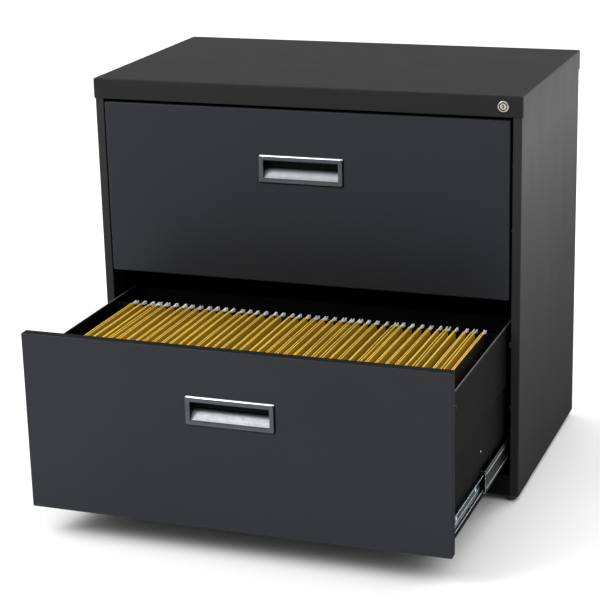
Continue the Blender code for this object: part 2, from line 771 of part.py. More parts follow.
def build_lock_plug(axis):
    """The plug and its cam turn on the lock's axis, so both are built about their parent."""
    front = -LOCK_FACE_PROUD + FIT
    back = LOCK_BARREL_LENGTH + FIT
    plug = add_object(
        "lock_plug",
        cylinder(LOCK_PLUG_RADIUS, (0, 0), 1, front, back),
        axis,
        (NICKEL, 0.3, 1.0),
    )
    half = KEYWAY_WIDTH / 2
    low = (-half, front - FIT, -KEYWAY_HEIGHT / 2)
    high = (half, front + KEYWAY_DEPTH, KEYWAY_HEIGHT / 2)
    cut(plug, box(low, high), "keyway")
    smooth(plug)


def build_lock_cam(axis):
    start = LOCK_BARREL_LENGTH + 2 * FIT
    end = start + CAM_THICKNESS
    half = CAM_WIDTH / 2
    arm = box((-half, start, -half), (half, end, CAM_PIN_ARM + CAM_END_MARGIN))
    bmesh.ops.rotate(
        arm, verts=arm.verts, cent=(0, 0, 0), matrix=Matrix.Rotation(CAM_REST_ANGLE, 3, "Y")
    )
    cam = add_object("lock_cam", arm, axis, (ZINC, 0.4, 1.0))
    pin = cylinder(
        CAM_PIN_RADIUS, (pin_offset, -LOCK_STROKE / 2), 1, end - CAM_THICKNESS / 2, end + CAM_PIN_LENGTH, 16
    )
    cut(cam, pin, "pin", "UNION")


def build_lock_bar(parent):
    """A strip inside the right stile, at its unlocked, lower place. The cam lifts its slotted
    arm, and then each of its two tabs stands in front of a drawer's catch."""
    cam_back = LOCK_BARREL_LENGTH + 2 * FIT + CAM_THICKNESS
    arm_y = cam_back + BAR_ARM_GAP
    pin_rest_z = lock_z - LOCK_STROKE / 2
    top_z = pin_rest_z + BAR_ARM_HEIGHT / 2
    bottom_z = lower_z + catch_centre - LOCK_STROKE - BAR_TAB_HEIGHT
    strip = box(
        (bar_x - BAR_THICKNESS, bar_y, bottom_z), (bar_x, bar_y + BAR_WIDTH, top_z)
    )
    bar = add_object("lock_bar", strip, parent, (ZINC, 0.4, 1.0))
    arm_bottom = pin_rest_z - BAR_ARM_HEIGHT / 2
    web = box(
        (bar_x - BAR_THICKNESS, bar_y + BAR_WIDTH / 2, arm_bottom),
        (bar_x, arm_y + BAR_ARM_THICKNESS, top_z),
    )
    cut(bar, web, "web", "UNION")
    arm_left = lock_x + pin_offset - CAM_WIDTH / 2
    arm = box(
        (arm_left, arm_y, arm_bottom), (bar_x, arm_y + BAR_ARM_THICKNESS, top_z)
    )
    cut(bar, arm, "arm", "UNION")
    for level, bottom in (("lower", lower_z), ("upper", upper_z)):
        centre = bottom + catch_centre - LOCK_STROKE
        tab = box(
            (bar_x - BAR_TAB_REACH - BAR_THICKNESS / 2, bar_y, centre - BAR_TAB_HEIGHT / 2),
            (bar_x - BAR_THICKNESS / 2, bar_y + BAR_WIDTH, centre + BAR_TAB_HEIGHT / 2),
        )
        cut(bar, tab, f"{level}_tab", "UNION")
    slot_half = CAM_PIN_RADIUS + BAR_SLOT_CLEARANCE
    slot_right = lock_x + CAM_PIN_ARM + slot_half
    slot = box(
        (arm_left - CAM_PIN_RADIUS, arm_y - FIT, pin_rest_z - slot_half),
        (slot_right, arm_y + BAR_ARM_THICKNESS + FIT, pin_rest_z + slot_half),
    )
    cut(bar, slot, "slot")


def build_lock_bar_guide(parent):
    """A clip on the stile's return that keeps the lock bar upright."""
    centre_z = upper_z - FRONT_BETWEEN_GAP / 2
    wall = FIT + GUIDE_SHEET
    front = bar_y - wall
    back = bar_y + BAR_WIDTH + wall
    near = opening_x - FIT
    far = bar_x - BAR_THICKNESS - wall
    line = [(near, back), (far, back), (far, front), (near, front)]
    low_z = centre_z - GUIDE_HEIGHT / 2
    high_z = centre_z + GUIDE_HEIGHT / 2
    shape = folded_sheet(line, GUIDE_SHEET, 2, low_z, high_z, radius=THIN_BEND * GUIDE_SHEET)
    add_object("lock_bar_guide", shape, parent, DARK_PAINT)


def build_lock(parent):
    build_lock_housing(parent)
    build_lock_nut(parent)
    axis = add_empty("lock_axis", (lock_x, 0, lock_z), parent)
    build_lock_plug(axis)
    build_lock_cam(axis)
    build_lock_bar(parent)
    build_lock_bar_guide(parent)


# ---- Feet ---------------------------------------------------------------------------
def build_feet(parent):
    foot_x = side_x - FOOT_FROM_SIDE
    rows = (("front", stile_y + FOOT_FROM_FRONT), ("rear", side_back_y - FOOT_FROM_REAR))
    for end, foot_y in rows:
        for name, side in (("left", -1), ("right", 1)):
            axis = add_empty(f"foot_axis_{end}_{name}", (side * foot_x, foot_y, 0), parent)
            pad = cylinder(FOOT_RADIUS, (0, 0), 2, 0, FOOT_PAD_HEIGHT, 32)
            foot = add_object(f"foot_{end}_{name}", pad, axis, (FOOT_BLACK, 0.5, 0.0))
            stem = cylinder(
                FOOT_STEM_RADIUS, (0, 0), 2, FOOT_PAD_HEIGHT / 2, FOOT_STEM_TOP, 24
            )
            cut(foot, stem, "stem", "UNION")
            smooth(foot)


# ---- Assembly -----------------------------------------------------------------------
def main():
    clear_scene()
    frame = add_empty("cabinet_frame", (0, origin_y, 0))
    build_top_panel(frame)
    build_side_panels(frame)
    build_back_panel(frame)
    build_base(frame)
    build_slide_posts(frame)
    build_drawer("upper", upper_z, 0, frame)
    lower_drawer = build_drawer("lower", lower_z, rest_opening, frame)
    build_folders(lower_drawer)
    build_lock(frame)
    build_feet(frame)


main()
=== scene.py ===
"""Looks of the lateral filing cabinet: materials, folders, pulls, lock and small hardware."""

import json
import math
import random

import bmesh
import bpy
from mathutils import Matrix, Vector


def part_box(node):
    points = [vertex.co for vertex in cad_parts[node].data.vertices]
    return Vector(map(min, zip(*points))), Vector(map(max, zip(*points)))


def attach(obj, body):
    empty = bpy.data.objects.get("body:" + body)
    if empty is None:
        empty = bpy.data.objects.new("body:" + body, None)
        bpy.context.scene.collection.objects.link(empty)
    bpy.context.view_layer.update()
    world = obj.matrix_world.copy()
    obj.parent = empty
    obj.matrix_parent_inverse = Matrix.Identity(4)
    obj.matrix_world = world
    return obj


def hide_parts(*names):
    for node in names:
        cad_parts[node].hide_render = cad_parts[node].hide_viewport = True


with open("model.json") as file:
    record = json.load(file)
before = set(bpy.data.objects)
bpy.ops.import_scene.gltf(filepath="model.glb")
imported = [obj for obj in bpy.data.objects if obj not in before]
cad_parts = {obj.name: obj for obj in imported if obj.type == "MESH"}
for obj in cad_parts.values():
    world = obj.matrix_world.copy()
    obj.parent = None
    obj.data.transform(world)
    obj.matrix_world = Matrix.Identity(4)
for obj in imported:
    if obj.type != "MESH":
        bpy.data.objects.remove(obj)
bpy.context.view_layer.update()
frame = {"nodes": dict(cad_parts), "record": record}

MM = 0.001

# ---- Places read from the frame -----------------------------------------------------
cap_low, cap_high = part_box("top_panel")
front_y = cap_low.y
lock_low, lock_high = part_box("lock_housing")
lock_x = (lock_low.x + lock_high.x) / 2
lock_z = (lock_low.z + lock_high.z) / 2
LEVELS = ("upper", "lower")
SIDES = (("left", -1), ("right", 1))


# ---- Mesh helpers -------------------------------------------------------------------
def add_mesh(name, shape, material, body, smooth_angle=35, recalc=True):
    """Turns a bmesh into a piece that rides on a body."""
    if recalc:
        bmesh.ops.recalc_face_normals(shape, faces=shape.faces)
    mesh = bpy.data.meshes.new(name)
    shape.to_mesh(mesh)
    shape.free()
    mesh.materials.append(material)
    if smooth_angle:
        mesh.shade_smooth()
        mesh.set_sharp_from_angle(angle=math.radians(smooth_angle))
    piece = bpy.data.objects.new(name, mesh)
    bpy.context.scene.collection.objects.link(piece)
    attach(piece, body)
    return piece


def join_rings(shape, rings, cap_start=True, cap_end=True, close=False):
    """Skins a list of vertex rings, each with the same number of vertices."""
    count = len(rings[0])
    pairs = list(zip(rings, rings[1:]))
    if close:
        pairs.append((rings[-1], rings[0]))
    for ring, following in pairs:
        for i in range(count):
            j = (i + 1) % count
            shape.faces.new((ring[i], ring[j], following[j], following[i]))
    if cap_start and not close:
        shape.faces.new(rings[0][::-1])
    if cap_end and not close:
        shape.faces.new(rings[-1])


def prism(shape, outline, axis, start, end):
    """Adds an outline of (first, second) coordinates, extruded along an axis."""
    others = [i for i in range(3) if i != axis]
    rings = []
    for level in (start, end):
        ring = []
        for first, second in outline:
            place = [0.0, 0.0, 0.0]
            place[axis] = level
            place[others[0]] = first
            place[others[1]] = second
            ring.append(shape.verts.new(place))
        rings.append(ring)
    join_rings(shape, rings)


def turned(shape, profile, origin, axis, segments=32):
    """Adds a solid turned about an axis, from (distance along it, radius) points."""
    axis = Vector(axis).normalized()
    across = axis.orthogonal().normalized()
    other = axis.cross(across)
    rings = []
    for along, radius in profile:
        ring = []
        for i in range(segments):
            angle = 2 * math.pi * i / segments
            spoke = across * math.cos(angle) + other * math.sin(angle)
            ring.append(shape.verts.new(Vector(origin) + axis * along + spoke * radius))
        rings.append(ring)
    join_rings(shape, rings)


def rounded_loop(half_width, half_height, radius, steps=5):
    """Points of a rounded rectangle about the origin, anticlockwise."""
    points = []
    corners = ((1, 1, 0), (-1, 1, 90), (-1, -1, 180), (1, -1, 270))
    for sign_x, sign_z, start in corners:
        centre_x = sign_x * (half_width - radius)
        centre_z = sign_z * (half_height - radius)
        for step in range(steps + 1):
            angle = math.radians(start + 90 * step / steps)
            points.append(
                (centre_x + radius * math.cos(angle), centre_z + radius * math.sin(angle))
            )
    return points


def solid_box(shape, low, high):
    """Adds a box between two corners."""
    outline = [(low[0], low[1]), (high[0], low[1]), (high[0], high[1]), (low[0], high[1])]
    prism(shape, outline, 2, low[2], high[2])


# ---- Material helpers ---------------------------------------------------------------
# Noise scales, in cells per metre
COAT_MOTTLE = 5.0
COAT_WEAR = 18.0
COAT_RUBBING = 60.0
COAT_PEEL = 420.0
COAT_SPECK = 1400.0
COAT_FINE = 1500.0
PLATE_CLOUD = 45.0
PLATE_LINES = 260.0
CARD_TONE = 11.0
CARD_FIBRE = 900.0
MOULD_TONE = 40.0
MOULD_GRAIN = 1100.0


class Nodes:
    """A short way to add and link shader nodes."""

    def __init__(self, name):
        self.material = bpy.data.materials.new(name)
        self.material.use_nodes = True
        self.tree = self.material.node_tree
        self.shader = self.tree.nodes["Principled BSDF"]
        self.place = self.add("ShaderNodeTexCoord").outputs["Object"]

    def add(self, kind, **settings):
        node = self.tree.nodes.new(kind)
        for key, value in settings.items():
            setattr(node, key, value)
        return node

    def link(self, source, target):
        self.tree.links.new(source, target)

    def noise(self, scale, detail=2.0, roughness=0.5, stretch=None):
        node = self.add("ShaderNodeTexNoise")
        node.inputs["Scale"].default_value = scale
        node.inputs["Detail"].default_value = detail
        node.inputs["Roughness"].default_value = roughness
        place = self.place
        if stretch is not None:
            mapping = self.add("ShaderNodeMapping")
            mapping.inputs["Scale"].default_value = stretch
            self.link(place, mapping.inputs["Vector"])
            place = mapping.outputs["Vector"]
        self.link(place, node.inputs["Vector"])
        return node.outputs["Fac"]

    def ranged(self, value, low, high, out_low=0.0, out_high=1.0):
        node = self.add("ShaderNodeMapRange")
        node.inputs["From Min"].default_value = low
        node.inputs["From Max"].default_value = high
        node.inputs["To Min"].default_value = out_low
        node.inputs["To Max"].default_value = out_high
        self.link(value, node.inputs["Value"])
        return node.outputs["Result"]

    def math(self, operation, first, second):
        node = self.add("ShaderNodeMath", operation=operation)
        for socket, value in zip(node.inputs, (first, second)):
            if isinstance(value, (int, float)):
                socket.default_value = value
            else:
                self.link(value, socket)
        return node.outputs[0]

    def mix(self, factor, first, second):
        node = self.add("ShaderNodeMix", data_type="RGBA")
        sockets = (node.inputs[0], node.inputs[6], node.inputs[7])
        for socket, value in zip(sockets, (factor, first, second)):
            if isinstance(value, (int, float)):
                socket.default_value = value
            elif isinstance(value, tuple):
                socket.default_value = (*value, 1.0)
            else:
                self.link(value, socket)
        return node.outputs[2]

    def place_axis(self, axis):
        """The object's own coordinate along an axis."""
        split = self.add("ShaderNodeSeparateXYZ")
        self.link(self.place, split.inputs[0])
        return split.outputs[axis]

    def normal_axis(self, axis):
        """The face normal's share along an axis, from -1 to 1."""
        split = self.add("ShaderNodeSeparateXYZ")
        self.link(self.add("ShaderNodeNewGeometry").outputs["Normal"], split.inputs[0])
        return split.outputs[axis]

    def bump(self, height, distance, strength=1.0, normal=None):
        node = self.add("ShaderNodeBump")
        node.inputs["Strength"].default_value = strength
        node.inputs["Distance"].default_value = distance
        self.link(height, node.inputs["Height"])
        if normal is not None:
            self.link(normal, node.inputs["Normal"])
        return node.outputs["Normal"]

    def rounded_edges(self, radius):
        node = self.add("ShaderNodeBevel", samples=4)
        node.inputs["Radius"].default_value = radius
        return node.outputs["Normal"]

    def edge_mask(self, rounded):
        """1 on the piece's edges, 0 on its flats."""
        flat = self.add("ShaderNodeNewGeometry").outputs["Normal"]
        dot = self.add("ShaderNodeVectorMath", operation="DOT_PRODUCT")
        self.link(rounded, dot.inputs[0])
        self.link(flat, dot.inputs[1])
        return self.ranged(dot.outputs["Value"], 0.995, 0.90)


def scaled(colour, share):
    """A colour times a share, kept within white."""
    return tuple(min(1.0, value * share) for value in colour)


def powder_coat(name, colour, roughness, specular, edge_radius=0.0007, edge=None, dull_below=None, zones=()):
    """Satin powder coat: soft mottling, orange-peel bump, and lighter edges, partly a thinner coat and
    partly a painted highlight.

    Each zone is a function that masks some faces, their share of the colour and their added roughness; the
    zones paint shade and highlight on the faces they mask.
    """
    nodes = Nodes(name)
    rounded = nodes.rounded_edges(edge_radius)
    mottle = nodes.ranged(nodes.noise(COAT_MOTTLE, 3.0), 0.35, 0.65)
    base = nodes.mix(mottle, scaled(colour, 0.95), scaled(colour, 1.05))
    speck = nodes.ranged(nodes.noise(COAT_SPECK, 1.0), 0.66, 0.74)
    base = nodes.mix(nodes.math("MULTIPLY", speck, 0.25), base, scaled(colour, 1.7))
    # Edge colour: part thinner coat, part painted highlight along the edges.
    worn_and_highlight = edge if edge is not None else tuple(value * 3.5 + 0.02 for value in colour)
    rubbed_and_highlit = nodes.ranged(nodes.noise(COAT_RUBBING, 2.0), 0.2, 0.7)
    rubbed_and_highlit = nodes.math("MULTIPLY", nodes.edge_mask(rounded), rubbed_and_highlit)
    base = nodes.mix(nodes.math("MULTIPLY", rubbed_and_highlit, 0.8), base, worn_and_highlight)
    wear = nodes.ranged(nodes.noise(COAT_WEAR, 4.0, stretch=(1, 1, 0.4)), 0.3, 0.7, -0.015, 0.02)
    gloss = nodes.math("ADD", wear, roughness)
    # The zones paint shade and highlight onto the faces they mask.
    for zone, share, dulling in zones:
        mask = zone(nodes)
        base = nodes.mix(mask, base, scaled(colour, share))
        gloss = nodes.math("ADD", gloss, nodes.math("MULTIPLY", mask, dulling))
    nodes.link(base, nodes.shader.inputs["Base Color"])
    if dull_below is not None:
        dullness = nodes.ranged(nodes.place_axis(2), dull_below, 0.0)
        gloss = nodes.math("ADD", gloss, nodes.math("MULTIPLY", dullness, 0.56))
    nodes.link(gloss, nodes.shader.inputs["Roughness"])
    nodes.shader.inputs["Specular IOR Level"].default_value = specular
    peel = nodes.bump(nodes.noise(COAT_PEEL, 2.0, 0.55), 0.00006, 0.5, rounded)
    fine = nodes.bump(nodes.noise(COAT_FINE, 1.0), 0.00003, 0.4, peel)
    nodes.link(fine, nodes.shader.inputs["Normal"])
    return nodes.material


def plated(name, colour, roughness, tint=None, brush=(1, 12, 1), edge_radius=0.0003, rim=None, grazing=1.0):
    """Plated steel: fine drawing lines, cloudy tint, edges painted bright as a highlight when a rim colour
    is given, and small roughness changes.

    grazing is how much of its shine it keeps at a low angle.
    """
    nodes = Nodes(name)
    cloud = nodes.ranged(nodes.noise(PLATE_CLOUD, 4.0, 0.6), 0.35, 0.65)
    second = tint if tint is not None else scaled(colour, 0.85)
    base = nodes.mix(cloud, colour, second)
    rounded = nodes.rounded_edges(edge_radius)
    if rim is not None:
        base = nodes.mix(nodes.edge_mask(rounded), base, rim)
    nodes.link(base, nodes.shader.inputs["Base Color"])
    nodes.shader.inputs["Metallic"].default_value = 1.0
    nodes.shader.inputs["Specular Tint"].default_value = (grazing, grazing, grazing, 1.0)
    lines = nodes.noise(PLATE_LINES, 3.0, 0.6, stretch=tuple(1.0 / value for value in brush))
    change = nodes.ranged(lines, 0.3, 0.7, -0.06, 0.10)
    nodes.link(nodes.math("ADD", change, roughness), nodes.shader.inputs["Roughness"])
    nodes.link(nodes.bump(lines, 0.00003, 0.35, rounded), nodes.shader.inputs["Normal"])
    return nodes.material


def card(name, colour, top_z=None):
    """Folder card: fibres, slight tone changes, a dry surface, and painted shade that makes it darker down
    in the row.
    """
    nodes = Nodes(name)
    fibre = nodes.noise(CARD_FIBRE, 3.0, 0.65, stretch=(1.0, 0.25, 0.6))
    tone = nodes.ranged(nodes.noise(CARD_TONE, 3.0), 0.3, 0.7)
    base = nodes.mix(tone, scaled(colour, 0.86), scaled(colour, 1.12))
    flecks = nodes.math("MULTIPLY", nodes.ranged(fibre, 0.55, 0.75), 0.30)
    base = nodes.mix(flecks, base, tuple(min(1.0, value * 1.5 + 0.02) for value in colour))
    # Painted shade: the card darkens below the folders' tops.
    if top_z is not None:
        shade_depth = nodes.ranged(nodes.place_axis(2), top_z - 1.5 * MM, top_z - 48.0 * MM)
        base = nodes.mix(shade_depth, base, scaled(colour, 0.06))
    nodes.link(base, nodes.shader.inputs["Base Color"])
    nodes.shader.inputs["Specular IOR Level"].default_value = 0.25
    rough = nodes.ranged(fibre, 0.3, 0.7, 0.62, 0.80)
    nodes.link(rough, nodes.shader.inputs["Roughness"])
    nodes.link(nodes.bump(fibre, 0.00008, 0.5), nodes.shader.inputs["Normal"])
    return nodes.material


def moulded(name, colour, roughness):
    """Moulded plastic or rubber with a fine spark-eroded grain."""
    nodes = Nodes(name)
    grain = nodes.noise(MOULD_GRAIN, 2.0)
    tone = nodes.ranged(nodes.noise(MOULD_TONE, 2.0), 0.3, 0.7)
    base = nodes.mix(tone, colour, tuple(value * 1.5 + 0.002 for value in colour))
    nodes.link(base, nodes.shader.inputs["Base Color"])
    rough = nodes.ranged(grain, 0.3, 0.7, roughness - 0.06, roughness + 0.08)
    nodes.link(rough, nodes.shader.inputs["Roughness"])
    nodes.link(nodes.bump(grain, 0.00005, 0.5), nodes.shader.inputs["Normal"])
    return nodes.material


# ---- Zones of faces for painted shade and highlight ---------------------------------
CASE_SKIN = 3.0 * MM  # faces nearer than this to the case's front or back are outer ones


def looks_inward(nodes):
    """1 on faces that look from the left or right towards the cabinet's middle."""
    towards_middle = nodes.math("MULTIPLY", nodes.place_axis(0), -1.0)
    return nodes.math("GREATER_THAN", nodes.math("MULTIPLY", nodes.normal_axis(0), towards_middle), 0.05)


def inside_case(nodes):
    """1 on faces that look into the case, 0 on its outer faces."""
    lengthwise = nodes.math("GREATER_THAN", nodes.math("ABSOLUTE", nodes.normal_axis(1), 0.0), 0.5)
    facing = nodes.math("MAXIMUM", looks_inward(nodes), lengthwise)
    behind = nodes.math("GREATER_THAN", nodes.place_axis(1), front_y + CASE_SKIN)
    before = nodes.math("LESS_THAN", nodes.place_axis(1), cap_high.y - CASE_SKIN)
    return nodes.math("MULTIPLY", nodes.math("MULTIPLY", facing, behind), before)


def behind_front(nodes):
    """1 on a drawer front's folded edges and back, 0 on its outer face."""
    return nodes.math("GREATER_THAN", nodes.normal_axis(1), -0.5)


def not_sideways(nodes):
    """1 on faces that look up, down, forward or back, 0 on those that look left or right."""
    return nodes.math("LESS_THAN", nodes.math("ABSOLUTE", nodes.normal_axis(0), 0.0), 0.5)


def upward(nodes):
    """1 on faces that look up."""
    return nodes.math("GREATER_THAN", nodes.normal_axis(2), 0.5)


# ---- Materials ----------------------------------------------------------------------
CHARCOAL = (0.0170, 0.0167, 0.0172)
FRONT = (0.0133, 0.0152, 0.0195)
SHADE_BLACK = (0.0012, 0.0012, 0.0013)
folder_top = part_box("hanging_folders")[1].z
# Case paint: faces that don't look left or right are painted in shade, and the edges carry a painted
# highlight.
case_paint = powder_coat(
    "case_powder_coat", CHARCOAL, 0.44, 0.17, 0.0012, edge=(0.13, 0.13, 0.135),
    zones=((not_sideways, 0.66, 0.17),),
)
# Side and back panels: faces inside the case are painted in shade.
side_paint = powder_coat(
    "side_powder_coat", (0.0170, 0.0170, 0.0180), 0.44, 0.17, dull_below=0.62,
    zones=((inside_case, 0.22, 0.0),),
)
# Drawer fronts: the folded edges and back are painted in shade.
front_paint = powder_coat("front_powder_coat", FRONT, 0.42, 0.19, zones=((behind_front, 0.2, 0.4),))
# Drawer bodies: a darker copy of the case paint as painted shade, painted shade again on faces that look
# inward, and a painted highlight on the edges and on faces that look up, such as the top hem.
body_paint = powder_coat(
    "drawer_powder_coat", (0.0080, 0.0083, 0.0089), 0.7, 0.02, 0.0012, edge=(0.34, 0.35, 0.36),
    zones=((looks_inward, 0.22, 0.0), (upward, 12.0, -0.2)),
)
# Near-black paint for the drawers' backs, floors, liners and hang rails: painted shade.
inner_paint = powder_coat("inner_shade_black_paint", SHADE_BLACK, 0.75, 0.12, 0.0004)
# Zinc plate: its bright rim on the edges is a painted highlight.
zinc = plated(
    "zinc_plate", (0.08, 0.14, 0.165), 0.28, (0.045, 0.085, 0.105),
    edge_radius=0.0012, rim=(0.95, 0.97, 0.98), grazing=0.6,
)
# Slide plate: a near-black base as painted dark reflection, with a painted highlight on its edges.
bright_zinc = plated(
    "bright_zinc_plate", (0.024, 0.025, 0.027), 0.3, (0.015, 0.016, 0.017),
    edge_radius=0.0008, rim=(0.95, 0.95, 0.95), grazing=0.55,
)
# The slides' ribs are much lighter than their webs: painted highlight.
rib_highlight_steel = plated("slide_rib_highlight_steel", (0.62, 0.66, 0.68), 0.25)
fastener = plated("fastener_zinc_plate", (0.74, 0.75, 0.76), 0.28)
cage_steel = plated("cage_steel", (0.25, 0.26, 0.27), 0.4)
rod_coating = moulded("rod_tip_coating", (0.80, 0.80, 0.77), 0.35)
ball_steel = plated("ball_steel", (0.80, 0.81, 0.82), 0.12, brush=(1, 1, 1))
# Nickel plate: its bright rim on the edges is a painted highlight.
nickel = plated("nickel_plate", (0.46, 0.42, 0.37), 0.22, brush=(1, 1, 1), rim=(0.95, 0.92, 0.88))
shaded_nickel = plated("shaded_nickel_ring", (0.012, 0.011, 0.010), 0.4, brush=(1, 1, 1))
brass = plated("machined_brass", (0.60, 0.47, 0.22), 0.35)
pull_grey = plated("pull_satin_metallic", (0.085, 0.092, 0.10), 0.38, (0.07, 0.077, 0.085))
# Pull colours: a painted highlight on the bezel's top edge and on the scoop, painted shade on its right and
# lower edges, end walls and grip.
pull_highlight = plated("pull_highlight_edge", (0.86, 0.87, 0.89), 0.30)
pull_scoop_highlight = plated("pull_satin_scoop_highlight", (0.36, 0.37, 0.39), 0.50, (0.31, 0.32, 0.34), brush=(1, 1, 1))
pull_shade = plated("pull_shade_edge", (0.008, 0.008, 0.009), 0.45)
folder_card = card("folder_card", (0.45, 0.270, 0.016), folder_top)
folder_shade = card("folder_shade", (0.018, 0.011, 0.0014), folder_top)
# The ridges are a lighter copy of the card: painted highlight.
folder_ridge_highlight = card("folder_ridge_highlight", (0.78, 0.54, 0.09))
foot_black = moulded("foot_black_plastic", (0.008, 0.008, 0.008), 0.5)
dark_gap = moulded("keyway_shadow", (0.002, 0.002, 0.002), 0.7)

LOOKS = {
    "charcoal_paint": case_paint,
    "front_paint": front_paint,
    "inner_paint": inner_paint,
    "zinc": zinc,
    "bright_steel": bright_zinc,
    "cage_steel": cage_steel,
    "nickel": nickel,
    "brass": brass,
    "pull_metal": pull_grey,
    "folder_card": folder_card,
    "foot_plastic": foot_black,
}


def dress_cad_nodes():
    """Gives every carried-over CAD node its finished material."""
    for part in frame["record"]["subparts"]:
        name = part["node"]
        look = LOOKS[part["material_slot"]]
        if name == "back_panel" or name.startswith("side_panel"):
            look = side_paint
        elif "_body_side_" in name:
            look = body_paint
        # Drawer backs, floors, front liners and hang rails take the near-black paint, painted shade.
        elif name.endswith(("_body_back", "_body_floor", "_front_liner")) or "_hang_rail_" in name:
            look = inner_paint
        for slot in frame["nodes"][name].material_slots:
            slot.material = look


# ---- Hanging folders ----------------------------------------------------------------
FOLDERS = 42
LEAF = 0.5 * MM  # thickness of the card
LEAF_STEPS = 8
LEAF_SAG = 1.2 * MM
BOTTOM_FOLD = 1.0 * MM  # half the gap between a folder's leaves at its bottom
ROD_HEM = 9.0 * MM
CORNER_DROP = 15.0 * MM
CORNER_CUT = 9.0 * MM
RIDGE_RADIUS = 0.6 * MM
RIDGE_STEPS = 5
HOOK_START = 12.0 * MM
HOOK_HALF = 0.35 * MM
CARD_FACE, CARD_RIDGE_HIGHLIGHT, CARD_SHADE = 0, 1, 2


def leaf_profile(top_x, bottom_x, top_z, bottom_z, inward):
    """A leaf's section from the bottom fold up, over its rod, and down inside as a hem."""
    points = []
    start_z = top_z - RIDGE_RADIUS
    for step in range(LEAF_STEPS + 1):
        share = step / LEAF_STEPS
        sag = math.sin(share * math.pi) * LEAF_SAG * inward
        x = bottom_x + (top_x - bottom_x) * share ** 0.8 + sag
        points.append((x, bottom_z + (start_z - bottom_z) * share))
    centre_x = top_x + inward * RIDGE_RADIUS
    for step in range(1, RIDGE_STEPS + 1):
        angle = math.pi * step / RIDGE_STEPS
        points.append(
            (
                centre_x - inward * RIDGE_RADIUS * math.cos(angle),
                start_z + RIDGE_RADIUS * math.sin(angle),
            )
        )
    points.append((centre_x + inward * RIDGE_RADIUS * 0.8, top_z - ROD_HEM))
    return points


def add_leaf(shape, profile, centre_y, half, top_z, wave, outer_index, rows=9):
    """A leaf of card with slanted top corners, as a closed thin sheet; its fold is the ridge.

    wave is the ripple's height, start and rate along the leaf.
    """
    height, start, rate = wave
    sheets = []
    for offset in (0.0, LEAF):
        grid = []
        for x, z in profile:
            cut = max(0.0, 1 - (top_z - z) / CORNER_DROP) * CORNER_CUT
            row = []
            for k in range(rows):
                t = -1 + 2 * k / (rows - 1)
                ripple = height * math.sin(start + rate * t) * (1 - t * t)
                row.append(shape.verts.new((x + offset + ripple, centre_y + t * (half - cut), z)))
            grid.append(row)
        sheets.append(grid)
    first, second = sheets
    for j in range(len(profile) - 1):
        # Faces on the ridge take the card's painted highlight.
        on_ridge = min(profile[j][1], profile[j + 1][1]) > top_z - 1.5 * RIDGE_RADIUS
        for k in range(rows - 1):
            one = (first[j][k], first[j][k + 1], first[j + 1][k + 1], first[j + 1][k])
            other = (second[j][k], second[j + 1][k], second[j + 1][k + 1], second[j][k + 1])
            shape.faces.new(one).material_index = CARD_RIDGE_HIGHLIGHT if on_ridge else CARD_FACE
            shape.faces.new(other).material_index = CARD_RIDGE_HIGHLIGHT if on_ridge else outer_index
        for k in (0, rows - 1):
            shape.faces.new((first[j][k], first[j + 1][k], second[j + 1][k], second[j][k]))
    for j in (0, len(profile) - 1):
        for k in range(rows - 1):
            shape.faces.new((first[j][k], first[j][k + 1], second[j][k + 1], second[j][k]))


def hook_outline(half, rail, top_z, rail_top):
    """A rod's hooked end seen from the side: out of the hem and down over its rail.

    half and rail are the leaf's end and the rail's middle, measured from the row's middle.
    """
    return [
        (half - HOOK_START, top_z - 3.4 * MM),
        (half - 2 * MM, top_z - 3.4 * MM),
        (half + 1 * MM, rail_top + 0.4 * MM),
        (rail + 2.2 * MM, rail_top + 0.4 * MM),
        (rail + 2.8 * MM, rail_top - 4.2 * MM),
        (rail + 4.6 * MM, rail_top - 4.6 * MM),
        (rail + 5.6 * MM, top_z - 2.6 * MM),
        (rail + 3.6 * MM, top_z - 0.9 * MM),
        (half - HOOK_START, top_z - 2.2 * MM),
    ]


def build_folders():
    """A row of hanging folders, each of two leaves over rods whose hooked ends rest on the rails."""
    random.seed(17)
    low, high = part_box("hanging_folders")
    rail_low, rail_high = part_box("lower_hang_rail_front")
    rear_low, rear_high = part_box("lower_hang_rail_rear")
    centre_y = (low.y + high.y) / 2
    half = (high.y - low.y) / 2
    rail = (rear_low.y + rear_high.y - rail_low.y - rail_high.y) / 4
    pitch = (high.x - low.x) / FOLDERS
    cards = bmesh.new()
    rods = bmesh.new()
    for index in range(FOLDERS):
        jitter = random.uniform(-1.6, 1.6) * MM
        middle = low.x + pitch * (index + 0.5) + (jitter if 0 < index < FOLDERS - 1 else 0)
        spread = random.uniform(1.4, 3.2) * MM
        drop = random.uniform(0.0, 0.9) * MM
        top_z = high.z - drop
        bottom_z = low.z + random.uniform(0.0, 4.0) * MM
        for inward in (1, -1):
            top_x = middle - inward * spread
            wave = (random.uniform(0.1, 0.5) * MM, random.uniform(0, 6.28), random.uniform(1.5, 4))
            profile = leaf_profile(top_x, middle - inward * BOTTOM_FOLD, top_z, bottom_z, inward)
            outermost = index == FOLDERS - 1 and inward < 0
            add_leaf(
                cards, profile, centre_y, half, top_z, wave, CARD_SHADE if outermost else CARD_FACE
            )
            rod_x = top_x + inward * RIDGE_RADIUS
            outline = hook_outline(half, rail, top_z, rail_high.z)
            for end in (-1, 1):
                hook = [(centre_y + end * y, z) for y, z in outline]
                prism(rods, hook, 0, rod_x - HOOK_HALF, rod_x + HOOK_HALF)
    leaves = add_mesh("folder_leaves", cards, folder_card, "folder_row", 50)
    for material in (folder_ridge_highlight, folder_shade):
        leaves.data.materials.append(material)
    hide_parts("hanging_folders")
    add_mesh("folder_rods", rods, rod_coating, "folder_row", 30)


